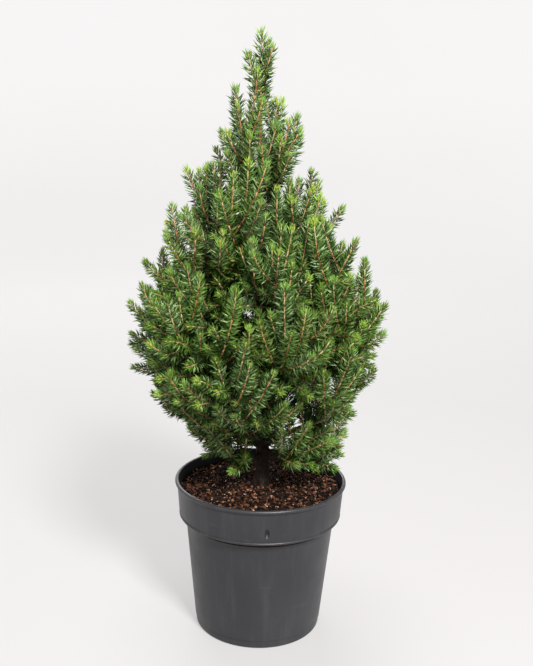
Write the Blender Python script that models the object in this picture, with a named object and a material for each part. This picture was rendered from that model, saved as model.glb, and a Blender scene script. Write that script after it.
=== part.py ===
"""A young dwarf Alberta spruce in its round nursery pot.

Metres, +Z up. The origin is the middle of the pot's flat underside, +X is the
right-hand side of the plant and -Y its front. The plant grows by one seeded
rule: a trunk, tiers of boughs, and on each bough a mass of needle shoots.
"""

import math
import random

import bmesh
import bpy
import numpy as np
from mathutils.bvhtree import BVHTree

GAP = 0.0003                    # clearance between pieces that rest on each other
UPWARD = np.array((0.0, 0.0, 1.0))
BACKWARD = np.array((0.0, 1.0, 0.0))
STEEP = 0.75                    # rise of a unit direction that counts as steep

# Pot: a turned shell with a wide band round its mouth
POT_HEIGHT = 0.180
LIP_RADIUS = 0.100
BAND_HEIGHT = 0.043
BAND_FOOT_RADIUS = 0.0947
BODY_TOP_RADIUS = 0.0870
FOOT_RADIUS = 0.0739
FOOT_STEP_HEIGHT = 0.009
FOOT_STEP = 0.0010
FOOT_BEVEL = 0.0030             # the rounded edge under the foot
FOOT_BEVEL_HEIGHT = 0.0012
SHOULDER_HEIGHT = 0.0040        # the curve from body out to band
SHOULDER_ROUND = 0.0030
LIP_BULGE = 0.0012              # how far the lip stands out of the band
LIP_HEIGHT = 0.0045
LIP_INSIDE = 0.0026             # how far the lip is rolled inwards
WALL = 0.0016
FLOOR = 0.0030
POT_SIDES = 36
DRAIN_HOLES = 6
DRAIN_RADIUS = 0.006
DRAIN_RING_RADIUS = 0.052
DRAIN_SIDES = 8
DRAIN_TURN = 0.45               # keeps the holes' corners off the floor's seams

# Soil: fills the pot, mounded a little towards the trunk
SOIL_AT_WALL = 0.165
SOIL_AT_TRUNK = 0.172
SOIL_SEAT_RADIUS = 0.016        # the level middle that the trunk stands on
SOIL_UNEVENNESS = 0.0012
SOIL_CLEARANCE = 0.0005         # from the pot's wall, measured level
SOIL_RINGS = (0.86, 0.66, 0.44) # rings on the mound, as shares of its radius

# Trunk
TRUNK_FOOT = SOIL_AT_TRUNK + GAP
TRUNK_TIP = 0.582
TRUNK_FOOT_RADIUS = 0.0078
TRUNK_TIP_RADIUS = 0.0018
FLARE = 0.0040
FLARE_HEIGHT = 0.010
FLARE_LOBES = 4
LOBE_DEPTH = 0.14
TAPER_POWER = 0.9
TRUNK_SIDES = 12
TRUNK_RINGS = 13
RING_CROWDING = 1.5             # rings lie closer together near the foot
TRUNK_FOOT_X = 0.0015
TREE_TOP = 0.679
TREE_TOP_X = -0.010
TRUNK_SWAY = 0.0022
SEAT_SLACK = 0.04               # share of the sway that a branch's seat is moved out by

# Boughs
BOUGH_SIDES = 6
BOUGH_RINGS = 4
BARE_SHARE = 0.36               # share of a branch's length that is bare bough
BOUGH_THICKNESS = 0.0040        # bough radius at the trunk, for each metre of tree above it
BOUGH_ROOT_RADIUS = 0.0016      # and its least radius there
BOUGH_TIP_RADIUS = 0.0017
ROOT_STAGGER = 0.018            # height over which one tier's boughs leave the trunk
ROOT_VARIETY = 0.002
AZIMUTH_VARIETY = 6.0           # degrees
TIP_VARIETY = 0.012
LEAST_REACH = 0.94              # share of the crown's reach that every branch has
BEND_OUT = 0.55                 # where a branch bends: share of its way out
BEND_UP = 0.34                  # and share of its way up
GOLDEN_ANGLE = math.radians(137.5)

# Crown: height, then the reach to the left, to the right, and to the front and back
CROWN = (
    (0.190, 0.070, 0.094, 0.056),
    (0.225, 0.070, 0.094, 0.062),
    (0.262, 0.104, 0.106, 0.096),
    (0.305, 0.153, 0.125, 0.136),
    (0.350, 0.150, 0.134, 0.148),
    (0.400, 0.151, 0.144, 0.152),
    (0.435, 0.132, 0.117, 0.130),
    (0.475, 0.108, 0.104, 0.108),
    (0.505, 0.093, 0.092, 0.094),
    (0.530, 0.088, 0.060, 0.076),
    (0.560, 0.050, 0.050, 0.052),
    (0.600, 0.034, 0.040, 0.038),
    (0.632, 0.023, 0.024, 0.025),
    (0.660, 0.014, 0.016, 0.016),
    (0.679, 0.006, 0.006, 0.006),
)

# Tiers: name, root height, tip height, first azimuth in degrees, count, has boughs
TIERS = (
    ("skirt", 0.205, 0.212, 14.0, 5, True),
    ("low", 0.222, 0.300, 15.0, 6, True),
    ("middle", 0.252, 0.395, -14.0, 6, True),
    ("shoulder", 0.306, 0.468, 58.0, 5, True),
    ("upper", 0.388, 0.527, 172.0, 5, False),
    ("top", 0.480, 0.598, 46.0, 4, False),
)

# Shoots: a slim three-sided core with a needle on every facet
SHOOT_LENGTH = 0.078
SHORTEST_SHOOT = 0.030
SHOOT_TRIM = 0.003              # step by which a shoot is cut short
LENGTH_RANGE = (0.80, 1.12)
LIFT_HEIGHTS = (0.200, 0.320)   # between these the upward turn of side shoots grows
LIFTS = (0.05, 0.42)            # from nearly level to steep
LIFT_VARIETY = 0.25
SPREAD = 47.0                   # degrees from stem to side shoot, low in the crown
TOP_SPREAD = 22.0               # and at its top
SPREAD_VARIETY = 9.0
SIDE_SHOOTS = 5
TRIES = 35                      # directions tried for the side shoots of one mass
FIRST_ON_BOUGH = 0.06           # where a stem's first side shoot is, as a share of its length
FIRST_ON_TRUNK = 0.14
LAST_SIDE_SHOOT = 0.76
PLACE_VARIETY = 0.03
BAND_LENGTH = 0.0208            # length of core that carries six needles
CORE_ROOT_RADIUS = 0.0024
CORE_TIP_RADIUS = 0.0016
CORE_POINT = 0.35               # share of the last band that narrows to the tip
NEEDLE = 0.0150
NEEDLE_VARIETY = 0.14           # share by which needles differ in length
NEEDLE_LEAN = 0.35              # how far a needle leans forward at the shoot's root
TIP_LEAN = 0.75                 # and how much more at its tip
SPIRAL_STEP = 0.0060            # rise from one needle to the next round the core
SHOOT_SPACING = 0.019           # least distance between shoots, low in the crown
TOP_SPACING = 0.008             # and at its top
CROWN_NARROWS = 0.460           # height from which spacing and spread narrow
NARROWEST = 0.639               # height above which they narrow no more
SAMPLES = (0.3, 0.5, 0.7, 0.85, 1.0)
OUTER_SAMPLES = 2               # samples from this one on are compared within a mass
LIMB_SPACING = 0.010            # least distance from a shoot to a limb
NEEDLE_CLEARANCE = 0.0005
FOLIAGE_FLOOR = 0.1865          # no foliage hangs lower than this
MOST_BANDS = 12                 # more bands than any stem has
ROOT = -1                       # facets of a shoot's root, which may be sunk into its stem
CORE = -2                       # the other bare facets


# ------------------------------------------------------------------ materials

def material(name, colour, roughness, metallic=0.0):
    """A Principled material with one colour."""
    made = bpy.data.materials.new(name)
    made.use_nodes = True
    shader = made.node_tree.nodes["Principled BSDF"]
    shader.inputs["Base Color"].default_value = (*colour, 1.0)
    shader.inputs["Roughness"].default_value = roughness
    shader.inputs["Metallic"].default_value = metallic
    made.diffuse_color = (*colour, 1.0)
    return made


# ------------------------------------------------------------- mesh building

def make_object(name, vertices, faces, finish, smooth_angle=None):
    """One closed mesh object in the scene."""
    mesh = bpy.data.meshes.new(name)
    mesh.from_pydata([tuple(v) for v in vertices], [], faces)
    mesh.materials.append(finish)
    mesh.validate()
    mesh.update()
    if smooth_angle is not None:
        mesh.shade_smooth()
        mesh.set_sharp_from_angle(angle=math.radians(smooth_angle))
    piece = bpy.data.objects.new(name, mesh)
    bpy.context.scene.collection.objects.link(piece)
    return piece


def turned(profile, sides):
    """Vertices and faces of a profile turned about Z, from pole to pole."""
    vertices = []
    faces = []
    rings = []
    for radius, height in profile:
        first = len(vertices)
        if radius == 0.0:
            vertices.append((0.0, 0.0, height))
            rings.append([first] * sides)
            continue
        for k in range(sides):
            angle = math.tau * k / sides
            vertices.append((radius * math.cos(angle), radius * math.sin(angle), height))
        rings.append(list(range(first, first + sides)))
    for low, high in zip(rings, rings[1:]):
        for k in range(sides):
            n = (k + 1) % sides
            corners = [low[k], low[n], high[n], high[k]]
            faces.append(list(dict.fromkeys(corners)))
    return vertices, faces


def loft(rings):
    """Vertices and faces of a tube through rings of equal size, capped flat."""
    sides = len(rings[0])
    vertices = [point for ring in rings for point in ring]
    faces = [list(range(sides))[::-1]]
    for i in range(len(rings) - 1):
        for k in range(sides):
            n = (k + 1) % sides
            low = i * sides
            faces.append([low + k, low + n, low + sides + n, low + sides + k])
    last = (len(rings) - 1) * sides
    faces.append(list(range(last, last + sides)))
    return vertices, faces


def ring_round(centre, along, radius, sides, turn=0.0, reference=UPWARD):
    """A ring of points round a line, counter-clockwise seen from its far end."""
    across, up = square_to(along, reference)
    points = []
    for k in range(sides):
        angle = turn + math.tau * k / sides
        points.append(centre + radius * (math.cos(angle) * across + math.sin(angle) * up))
    return points


def cut_away(piece, cutters):
    """Cuts each cutter out of a piece, then removes the cutters."""
    for cutter in cutters:
        cutter.hide_render = True
        cutter.display_type = "WIRE"
        cut = piece.modifiers.new("drain", "BOOLEAN")
        cut.operation = "DIFFERENCE"
        cut.solver = "EXACT"
        cut.object = cutter
        with bpy.context.temp_override(object=piece, active_object=piece):
            bpy.ops.object.modifier_apply(modifier=cut.name)
    for cutter in cutters:
        bpy.data.objects.remove(cutter)


# ------------------------------------------------------------ small geometry

def unit(vector):
    """The vector at length one."""
    return vector / np.linalg.norm(vector)


def square_to(along, reference=UPWARD):
    """Two unit vectors square to a direction and to each other."""
    across = unit(np.cross(reference, along))
    return across, np.cross(along, across)


def reference_for(curve):
    """A direction that no part of a curve runs along, to turn its rings by."""
    chord = unit(curve[2] - curve[0])
    return UPWARD if abs(chord[2]) < STEEP else BACKWARD


def outward(azimuth):
    """The level direction at an azimuth."""
    return np.array((math.cos(azimuth), math.sin(azimuth), 0.0))


def curve_point(curve, t):
    """A point on a curve with three control points."""
    start, middle, end = curve
    return (1 - t) ** 2 * start + 2 * t * (1 - t) * middle + t ** 2 * end


def curve_direction(curve, t):
    """The direction of such a curve."""
    start, middle, end = curve
    return unit(2 * (1 - t) * (middle - start) + 2 * t * (end - middle))


def curve_length(curve):
    """The length of such a curve, by short steps."""
    points = [curve_point(curve, i / 12) for i in range(13)]
    return sum(float(np.linalg.norm(b - a)) for a, b in zip(points, points[1:]))


# ------------------------------------------------------------ the growth rule

def trunk_centre(height):
    """Where the trunk's middle is at a height."""
    t = (height - TRUNK_FOOT) / (TREE_TOP - TRUNK_FOOT)
    x = TRUNK_FOOT_X + (TREE_TOP_X - TRUNK_FOOT_X) * t + TRUNK_SWAY * math.sin(math.tau * t)
    y = TRUNK_SWAY * math.sin(math.pi * t)
    return np.array((x, y, height))


def trunk_radius(height):
    """The trunk's radius at a height, with the flare at its foot."""
    t = (height - TRUNK_FOOT) / (TRUNK_TIP - TRUNK_FOOT)
    taper = TRUNK_FOOT_RADIUS + (TRUNK_TIP_RADIUS - TRUNK_FOOT_RADIUS) * t ** TAPER_POWER
    return taper + FLARE * math.exp(-(height - TRUNK_FOOT) / FLARE_HEIGHT)


def crown_reach(height, azimuth):
    """How far the crown reaches from the trunk at a height, towards an azimuth."""
    heights, *reaches = zip(*CROWN)
    left, right, deep = (float(np.interp(height, heights, reach)) for reach in reaches)
    sideways = math.cos(azimuth) / (right if math.cos(azimuth) > 0 else left)
    return 1.0 / math.hypot(sideways, math.sin(azimuth) / deep)


def in_crown(point):
    """Whether a point lies inside the crown's outline."""
    if not FOLIAGE_FLOOR <= point[2] <= TREE_TOP:
        return False
    offset = point - trunk_centre(point[2])
    azimuth = math.atan2(offset[1], offset[0])
    return math.hypot(offset[0], offset[1]) <= crown_reach(point[2], azimuth)


def branches():
    """Every branch of the tree, lowest tier first: its name, curve and root radius."""
    chance = random.Random(41)
    grown = []
    for tier, root_height, tip_height, first, count, has_bough in TIERS:
        for k in range(count):
            turn = chance.uniform(-AZIMUTH_VARIETY, AZIMUTH_VARIETY)
            azimuth = math.radians(first + 360.0 * k / count + turn)
            stagger = ROOT_STAGGER * ((k * 2) % count) / count
            low = root_height + stagger + chance.uniform(-ROOT_VARIETY, ROOT_VARIETY)
            high = tip_height + chance.uniform(-TIP_VARIETY, TIP_VARIETY)
            reach = crown_reach(high, azimuth) * chance.uniform(LEAST_REACH, 1.0)
            start = trunk_centre(low) + outward(azimuth) * (trunk_radius(low) + GAP)
            end = trunk_centre(high) + outward(azimuth) * reach
            middle = (1 - BEND_OUT) * start + BEND_OUT * end
            middle[2] = low + BEND_UP * (high - low)
            grown.append({
                "name": f"{tier}_{k + 1}",
                "azimuth": azimuth,
                "curve": (start, middle, end),
                "radius": BOUGH_ROOT_RADIUS + BOUGH_THICKNESS * (TREE_TOP - low),
                "has_bough": has_bough,
                "seed": 100 + len(grown),
            })
    return grown


def shoot_samples(curve):
    """Points along a shoot, where its distance to others is measured."""
    return np.array([curve_point(curve, t) for t in SAMPLES])


def least_distance(points, others):
    """The least distance between two sets of points."""
    return float(np.min(np.linalg.norm(points[:, None, :] - others[None, :, :], axis=2)))


def limb_points(branch_list):
    """Points along the trunk and the bare boughs."""
    points = [trunk_centre(h) for h in np.linspace(TRUNK_FOOT, TRUNK_TIP, 60)]
    for branch in branch_list:
        if branch["has_bough"]:
            points += [curve_point(branch["curve"], t) for t in np.linspace(0.0, BARE_SHARE, 8)]
    return np.array(points)


def narrowing(height, low, top):
    """A value that changes from low in the crown to its top."""
    return float(np.interp(height, (CROWN_NARROWS, NARROWEST), (low, top)))


def side_shoot(stem, t, roll, chance):
    """A side shoot from a stem, bent upwards, cut short at the crown's outline."""
    root = curve_point(stem, t)
    along = curve_direction(stem, t)
    across, up = square_to(along, reference_for(stem))
    spread = narrowing(root[2], SPREAD, TOP_SPREAD) + chance.uniform(-1.0, 1.0) * SPREAD_VARIETY
    spread = math.radians(spread)
    away = math.cos(roll) * across + math.sin(roll) * up
    heading = unit(math.cos(spread) * along + math.sin(spread) * away)
    length = SHOOT_LENGTH * chance.uniform(*LENGTH_RANGE)
    steepness = float(np.interp(root[2], LIFT_HEIGHTS, LIFTS))
    lift = steepness * chance.uniform(1 - LIFT_VARIETY, 1 + LIFT_VARIETY) * UPWARD
    while length >= SHORTEST_SHOOT:
        end = root + length * unit(heading + lift)
        if in_crown(end):
            return root, root + 0.5 * length * heading, end
        length -= SHOOT_TRIM
    return None


def stem_curve(branch):
    """The part of a branch's curve that its mass has: past the bare bough, if it has one."""
    start, middle, end = branch["curve"]
    if not branch["has_bough"]:
        return branch["curve"]
    first = BARE_SHARE + GAP / curve_length(branch["curve"])
    return curve_point(branch["curve"], first), (1 - first) * middle + first * end, end


def grow_mass(branch, limbs, taken):
    """The side shoots of one mass that have room, from its foot to its tip."""
    chance = random.Random(branch["seed"])
    stem = stem_curve(branch)
    shoots = []
    own = shoot_samples(stem)[OUTER_SAMPLES + 1:]
    roll = chance.uniform(0.0, math.tau)
    first = FIRST_ON_BOUGH if branch["has_bough"] else FIRST_ON_TRUNK
    for _ in range(TRIES):
        if len(shoots) == SIDE_SHOOTS:
            break
        share = (len(shoots) + 0.5) / SIDE_SHOOTS
        t = first + (LAST_SIDE_SHOOT - first) * share + chance.uniform(-PLACE_VARIETY, PLACE_VARIETY)
        roll += GOLDEN_ANGLE
        shoot = side_shoot(stem, t, roll, chance)
        if shoot is None:
            continue
        points = shoot_samples(shoot)
        outer = points[OUTER_SAMPLES:]
        spacing = narrowing(outer[0][2], SHOOT_SPACING, TOP_SPACING)
        if least_distance(points, limbs) < LIMB_SPACING:
            continue
        if least_distance(points, taken) < spacing or least_distance(outer, own) < spacing:
            continue
        shoots.append(shoot)
        own = np.concatenate([own, outer])
    return shoots


def grow_tree():
    """Every branch with its side shoots, each clear of those grown before it."""
    grown = branches()
    limbs = limb_points(grown)
    grown.append(leader_branch())
    taken = [shoot_samples(stem_curve(branch)) for branch in grown]
    for index, branch in enumerate(grown):
        others = np.concatenate(taken[:index] + taken[index + 1:])
        branch["shoots"] = grow_mass(branch, limbs, others)
        taken[index] = np.concatenate([taken[index]] + [shoot_samples(s) for s in branch["shoots"]])
    return grown


def leader_branch():
    """The leading shoot that carries the trunk on to the tree's top."""
    start = trunk_centre(TRUNK_TIP) + np.array((0.0, 0.0, GAP))
    end = trunk_centre(TREE_TOP)
    return {
        "name": "leader", "azimuth": 0.0, "curve": (start, 0.5 * (start + end), end),
        "radius": TRUNK_TIP_RADIUS, "has_bough": False, "seed": 77,
    }


# ------------------------------------------------------------- shoots as solids

def shoot_solid(curve, skipped=frozenset(), swell=0.0, root_ring=None):
    """A slim core with a needle on each facet: vertices, triangles, each one's needle."""
    bands = max(2, round(curve_length(curve) / BAND_LENGTH))
    reference = reference_for(curve)
    rings = []
    for i in range(bands + 1):
        t = (1.0 - CORE_POINT / bands) * i / bands
        along = curve_direction(curve, t)
        radius = CORE_ROOT_RADIUS + (CORE_TIP_RADIUS - CORE_ROOT_RADIUS) * t + swell
        turn = math.radians(60.0) * i
        ring = ring_round(curve_point(curve, t), along, radius, 3, turn, reference)
        if i > 0:
            ring = [point + (k - 1) * SPIRAL_STEP * along for k, point in enumerate(ring)]
        rings.append(ring)
    if root_ring is not None:
        rings[0] = root_ring
    vertices = [point for ring in rings for point in ring]
    triangles = [(2, 1, 0)]
    owners = [ROOT]
    for i in range(bands):
        t = (i + 0.5) / bands
        along = curve_direction(curve, t)
        axis_point = curve_point(curve, t)
        for k in range(3):
            a, b = 3 * i + k, 3 * i + (k + 1) % 3
            c, d = 3 * (i + 1) + k, 3 * (i + 1) + (k + 1) % 3
            for kind, corners in enumerate(((a, b, c), (c, b, d))):
                needle = 6 * i + 2 * k + kind
                if needle in skipped:
                    triangles.append(corners)
                    owners.append(ROOT if i == 0 else CORE)
                    continue
                middle = sum(vertices[v] for v in corners) / 3.0
                away = middle - axis_point
                away = unit(away - np.dot(away, along) * along)
                length = NEEDLE * (1.0 + NEEDLE_VARIETY * math.sin(GOLDEN_ANGLE * needle)) + swell
                tip = middle + length * unit(away + (NEEDLE_LEAN + TIP_LEAN * t) * along)
                vertices.append(tip)
                peak = len(vertices) - 1
                for p, q in zip(corners, corners[1:] + corners[:1]):
                    triangles.append((p, q, peak))
                    owners.append(needle)
    vertices.append(curve[2] + swell * curve_direction(curve, 1.0))
    last = 3 * bands
    for k in range(3):
        triangles.append((last + k, last + (k + 1) % 3, len(vertices) - 1))
        owners.append(CORE)
    return vertices, triangles, owners


def search_tree(vertices, triangles):
    """A search tree of a mesh given as lists."""
    return BVHTree.FromPolygons([tuple(v) for v in vertices], triangles)


def fitted_shoot(curve, neighbours, own, joined, root_ring=None):
    """The needles to leave off so that a shoot clears its neighbours, or None.

    Of its own mass, a shoot meets only the stem, and only with its joined facets.
    """
    skipped = set()
    while True:
        vertices, triangles, owners = shoot_solid(curve, frozenset(skipped), NEEDLE_CLEARANCE, root_ring)
        tree = search_tree(vertices, triangles)
        hits = {owners[i] for other in neighbours for i, _ in tree.overlap(other)}
        if CORE in hits or ROOT in hits:
            return None
        hits |= {owners[i] for other in own for i, _ in tree.overlap(other)} - joined
        if CORE in hits:
            return None
        if not hits:
            return frozenset(skipped)
        skipped |= hits


def tree_of(piece):
    """A search tree of a piece's mesh."""
    mesh = piece.data
    return BVHTree.FromPolygons([tuple(v.co) for v in mesh.vertices],
                                [tuple(p.vertices) for p in mesh.polygons])


def shell_volume(faces):
    """The signed volume that a set of triangles closes."""
    return sum(f.verts[0].co.dot(f.verts[1].co.cross(f.verts[2].co)) for f in faces) / 6.0


def keep_largest_shell(piece):
    """Drops loose scraps and fills sealed hollows: only the outer shell stays."""
    work = bmesh.new()
    work.from_mesh(piece.data)
    bmesh.ops.triangulate(work, faces=work.faces[:])
    unseen = set(work.faces)
    shells = []
    while unseen:
        seed = unseen.pop()
        shell = [seed]
        for face in shell:
            for edge in face.edges:
                for other in edge.link_faces:
                    if other in unseen:
                        unseen.discard(other)
                        shell.append(other)
        shells.append(shell)
    shells.sort(key=shell_volume, reverse=True)
    spare = [face for shell in shells[1:] for face in shell]
    bmesh.ops.delete(work, geom=spare, context="FACES")
    work.to_mesh(piece.data)
    work.free()


def fuse(piece, parts):
    """One union of a piece with a collection of parts, which are then removed."""
    group = bpy.data.collections.new(piece.name + "_parts")
    bpy.context.scene.collection.children.link(group)
    for part in parts:
        bpy.context.scene.collection.objects.unlink(part)
        group.objects.link(part)
    union = piece.modifiers.new("fuse", "BOOLEAN")
    union.operation = "UNION"
    union.solver = "EXACT"
    union.operand_type = "COLLECTION"
    union.collection = group
    with bpy.context.temp_override(object=piece, active_object=piece):
        bpy.ops.object.modifier_apply(modifier=union.name)
    for part in parts:
        bpy.data.objects.remove(part)
    bpy.data.collections.remove(group)
    keep_largest_shell(piece)


# ------------------------------------------------------------------ sub-parts

def inside_corners():
    """The corners of the pot's inside, from its floor up to its lip."""
    band_foot = POT_HEIGHT - BAND_HEIGHT
    slope = (BODY_TOP_RADIUS - FOOT_RADIUS) / band_foot
    return [
        (FOOT_RADIUS + slope * FLOOR - WALL, FLOOR),
        (BODY_TOP_RADIUS - WALL, band_foot - SHOULDER_HEIGHT),
        (BAND_FOOT_RADIUS - WALL, band_foot + WALL),
        (LIP_RADIUS - LIP_INSIDE, POT_HEIGHT - 0.25 * LIP_INSIDE),
    ]


def make_pot(finish):
    """The pot: outside from the underside's middle up, over the lip, and down the inside."""
    band_foot = POT_HEIGHT - BAND_HEIGHT
    profile = [
        (0.0, 0.0),
        (FOOT_RADIUS - FOOT_BEVEL, 0.0),
        (FOOT_RADIUS - 0.2 * FOOT_BEVEL, FOOT_BEVEL_HEIGHT),
        (FOOT_RADIUS, FOOT_STEP_HEIGHT),
        (FOOT_RADIUS + FOOT_STEP, FOOT_STEP_HEIGHT + FOOT_STEP),
        (BODY_TOP_RADIUS, band_foot - SHOULDER_HEIGHT),
        (BODY_TOP_RADIUS + SHOULDER_ROUND, band_foot - 0.2 * SHOULDER_HEIGHT),
        (BAND_FOOT_RADIUS, band_foot),
        (LIP_RADIUS - LIP_BULGE, POT_HEIGHT - LIP_HEIGHT),
        (LIP_RADIUS, POT_HEIGHT - 0.5 * LIP_HEIGHT),
        (LIP_RADIUS - 0.5 * LIP_BULGE, POT_HEIGHT),
    ]
    profile += inside_corners()[::-1]
    profile.append((0.0, FLOOR))
    pot = make_object("pot", *turned(profile, POT_SIDES), finish, smooth_angle=30)
    cutters = []
    for k in range(DRAIN_HOLES):
        centre = outward(math.tau * (k + DRAIN_TURN) / DRAIN_HOLES) * DRAIN_RING_RADIUS
        ends = (centre - FLOOR * UPWARD, centre + 2 * FLOOR * UPWARD)
        rings = [ring_round(end, UPWARD, DRAIN_RADIUS, DRAIN_SIDES, DRAIN_TURN, BACKWARD) for end in ends]
        cutters.append(make_object(f"drain_cutter_{k + 1}", *loft(rings), finish))
    cut_away(pot, cutters)
    return pot


def make_soil(finish):
    """The potting soil: clear of the wall all round, with an uneven mounded top."""
    chance = random.Random(5)
    corners = inside_corners()
    heights = [height for _, height in corners]
    rim = float(np.interp(SOIL_AT_WALL, heights, [radius for radius, _ in corners])) - SOIL_CLEARANCE
    profile = [(0.0, FLOOR + GAP)]
    profile += [(radius - SOIL_CLEARANCE, height + GAP) for radius, height in corners[:-1]]
    profile.append((rim, SOIL_AT_WALL))
    for share in SOIL_RINGS:
        mound = SOIL_AT_WALL + (SOIL_AT_TRUNK - SOIL_AT_WALL) * (1 - share ** 2)
        profile.append((rim * share, mound))
    profile += [(SOIL_SEAT_RADIUS, SOIL_AT_TRUNK), (0.0, SOIL_AT_TRUNK)]
    vertices, faces = turned(profile, POT_SIDES)
    mound = range(len(corners) * POT_SIDES + 1, len(vertices) - POT_SIDES - 1)
    for index in mound:
        x, y, z = vertices[index]
        vertices[index] = (x, y, z + chance.uniform(-SOIL_UNEVENNESS, SOIL_UNEVENNESS))
    return make_object("soil", vertices, faces, finish)


def make_trunk(finish):
    """The trunk: tapering and swaying a little, with a lobed flare at its flat foot."""
    rings = []
    for i in range(TRUNK_RINGS):
        t = (i / (TRUNK_RINGS - 1)) ** RING_CROWDING
        height = TRUNK_FOOT + (TRUNK_TIP - TRUNK_FOOT) * t
        radius = trunk_radius(height)
        lobes = LOBE_DEPTH * math.exp(-(height - TRUNK_FOOT) / FLARE_HEIGHT)
        ring = []
        for k in range(TRUNK_SIDES):
            angle = math.tau * k / TRUNK_SIDES
            reach = radius * (1 - lobes + lobes * math.cos(FLARE_LOBES * angle))
            ring.append(trunk_centre(height) + reach * outward(angle))
        rings.append(ring)
    return make_object("trunk", *loft(rings), finish, smooth_angle=50)


def seated_ring(branch, radius, sides, reference):
    """The ring where a branch meets the trunk: mitred upright and just clear of it."""
    start = branch["curve"][0]
    facing = outward(branch["azimuth"])
    along = curve_direction(branch["curve"], 0.0)
    ring = ring_round(start, along, radius, sides, 0.0, reference)
    slant = along / np.dot(along, facing)
    ring = [point - slant * np.dot(point - start, facing) for point in ring]
    lowest = min(point[2] for point in ring)
    shift = trunk_radius(lowest) - trunk_radius(start[2]) + TRUNK_SWAY * SEAT_SLACK
    return [point + shift * facing for point in ring]


def make_bough(branch, finish):
    """A bough: one tapering limb from the trunk to where it enters its mass."""
    curve = branch["curve"]
    rings = [seated_ring(branch, branch["radius"], BOUGH_SIDES, UPWARD)]
    for i in range(1, BOUGH_RINGS):
        t = BARE_SHARE * i / (BOUGH_RINGS - 1)
        share = i / (BOUGH_RINGS - 1)
        radius = branch["radius"] + (BOUGH_TIP_RADIUS - branch["radius"]) * share
        rings.append(ring_round(curve_point(curve, t), curve_direction(curve, t), radius, BOUGH_SIDES))
    return make_object("bough_" + branch["name"], *loft(rings), finish, smooth_angle=50)


def bare_core(curve):
    """A search tree of a shoot's core alone."""
    every_needle = frozenset(range(6 * MOST_BANDS))
    return search_tree(*shoot_solid(curve, every_needle, NEEDLE_CLEARANCE)[:2])


def make_mass(branch, neighbours, finish):
    """A mass: a stem with needles, and side shoots fused on, all clear of its neighbours."""
    stem = stem_curve(branch)
    on_trunk = not branch["has_bough"] and branch["name"] != "leader"
    root_ring = seated_ring(branch, CORE_ROOT_RADIUS, 3, reference_for(stem)) if on_trunk else None
    kept = []
    for shoot in branch["shoots"]:
        core = bare_core(shoot)
        if not any(core.overlap(other) for other in neighbours):
            kept.append((shoot, core))
    cores = [core for _, core in kept]
    skipped = fitted_shoot(stem, neighbours, cores, {ROOT, CORE}, root_ring)
    vertices, triangles, _ = shoot_solid(stem, skipped, 0.0, root_ring)
    mass = make_object("mass_" + branch["name"], vertices, triangles, finish)
    own = [search_tree(vertices, triangles)]
    parts = []
    for shoot, _ in kept:
        skipped = fitted_shoot(shoot, neighbours, own, {ROOT})
        if skipped is None:
            continue
        vertices, triangles, _ = shoot_solid(shoot, skipped)
        own.append(search_tree(vertices, triangles))
        parts.append(make_object(f"shoot_{len(parts)}", vertices, triangles, finish))
    fuse(mass, parts)
    return mass


# ------------------------------------------------------------------- assembly

def main():
    """Clears the scene and builds the potted tree."""
    for old in list(bpy.data.objects):
        bpy.data.objects.remove(old)
    plastic = material("pot_plastic", (0.055, 0.057, 0.060), 0.55)
    peat = material("potting_soil", (0.045, 0.028, 0.018), 0.95)
    bark = material("bark", (0.150, 0.085, 0.048), 0.90)
    needles = material("needles", (0.070, 0.170, 0.060), 0.60)

    tree = grow_tree()
    pieces = [make_pot(plastic), make_soil(peat), make_trunk(bark)]
    pieces += [make_bough(branch, bark) for branch in tree if branch["has_bough"]]
    built = [tree_of(piece) for piece in pieces]
    stems = [bare_core(stem_curve(branch)) for branch in tree]
    for index, branch in enumerate(tree):
        mass = make_mass(branch, built + stems[index + 1:], needles)
        built.append(tree_of(mass))


main()
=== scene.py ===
"""Looks of the potted dwarf Alberta spruce: needles, twigs, bark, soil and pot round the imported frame."""
import itertools
import math
import random
from collections import defaultdict

import bmesh
import bpy
import numpy as np
from mathutils import Euler, Matrix, Vector, noise


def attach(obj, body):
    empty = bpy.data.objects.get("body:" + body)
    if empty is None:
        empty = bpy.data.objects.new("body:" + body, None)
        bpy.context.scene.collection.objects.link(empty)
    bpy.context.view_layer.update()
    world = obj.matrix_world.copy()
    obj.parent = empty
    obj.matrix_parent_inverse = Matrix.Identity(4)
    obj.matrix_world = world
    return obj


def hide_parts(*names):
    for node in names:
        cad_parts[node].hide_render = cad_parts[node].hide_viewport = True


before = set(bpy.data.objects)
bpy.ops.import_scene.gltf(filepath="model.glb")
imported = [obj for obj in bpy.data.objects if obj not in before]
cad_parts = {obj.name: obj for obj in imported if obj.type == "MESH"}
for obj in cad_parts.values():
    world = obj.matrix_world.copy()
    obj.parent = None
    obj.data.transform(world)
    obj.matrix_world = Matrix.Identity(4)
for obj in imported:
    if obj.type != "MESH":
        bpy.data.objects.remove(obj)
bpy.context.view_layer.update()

NODES = sorted(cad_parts)
MASSES = [name for name in NODES if name.startswith("mass_")]
LIMBS = [name for name in NODES if name.startswith("bough_")] + ["trunk"]

# ------------------------ the growth rule's sizes, in metres

GAP = 0.0003
UPWARD = np.array((0.0, 0.0, 1.0))
BACKWARD = np.array((0.0, 1.0, 0.0))
STEEP = 0.75

TRUNK_FOOT = 0.172 + GAP
TRUNK_TIP = 0.582
TRUNK_FOOT_RADIUS = 0.0078
TRUNK_TIP_RADIUS = 0.0018
FLARE = 0.0040
FLARE_HEIGHT = 0.010
FLARE_LOBES = 4
TAPER_POWER = 0.9
TRUNK_FOOT_X = 0.0015
TREE_TOP = 0.679
TREE_TOP_X = -0.010
TRUNK_SWAY = 0.0022

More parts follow.
